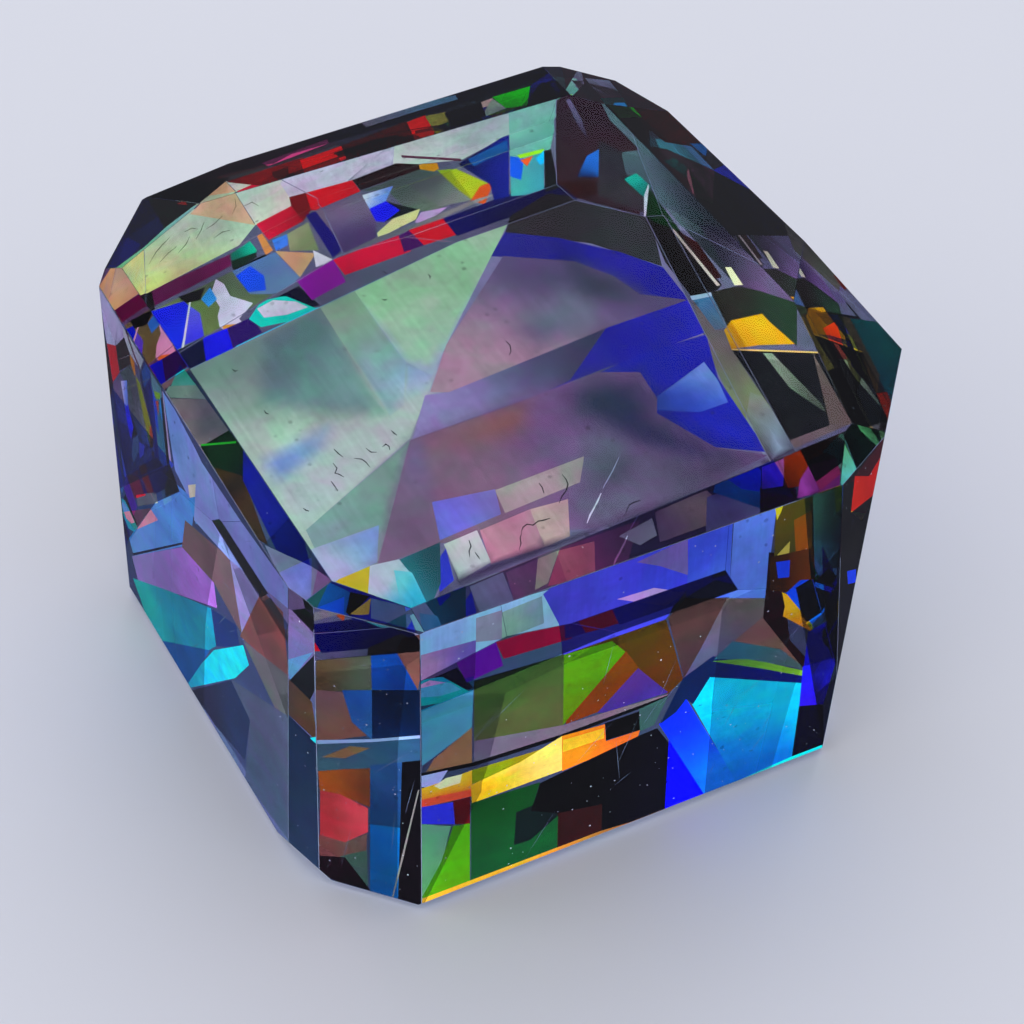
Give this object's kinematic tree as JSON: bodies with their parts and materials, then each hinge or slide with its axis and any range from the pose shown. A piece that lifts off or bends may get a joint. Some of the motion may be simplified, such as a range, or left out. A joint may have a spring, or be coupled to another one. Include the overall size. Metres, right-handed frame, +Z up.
{
  "type": "faceted gemstone",
  "caption": "Large see-through cut-corner gemstone: broad flat table, shallow crown tier, tall near-upright walls with a narrow step band at the back, thin base bevels and a flat base.",
  "frame": {"origin": "middle of the flat base's bounding rectangle, on the surface the stone rests on", "axes": "+Z up out of the table, the widest upright wall faces -Y, the right wall faces +X"},
  "size_m": [0.029, 0.03, 0.0185],
  "materials": {
    "topaz": "polished"
  },
  "bodies": {
    "root": {"gemstone": "topaz"}
  },
  "joints": []
}
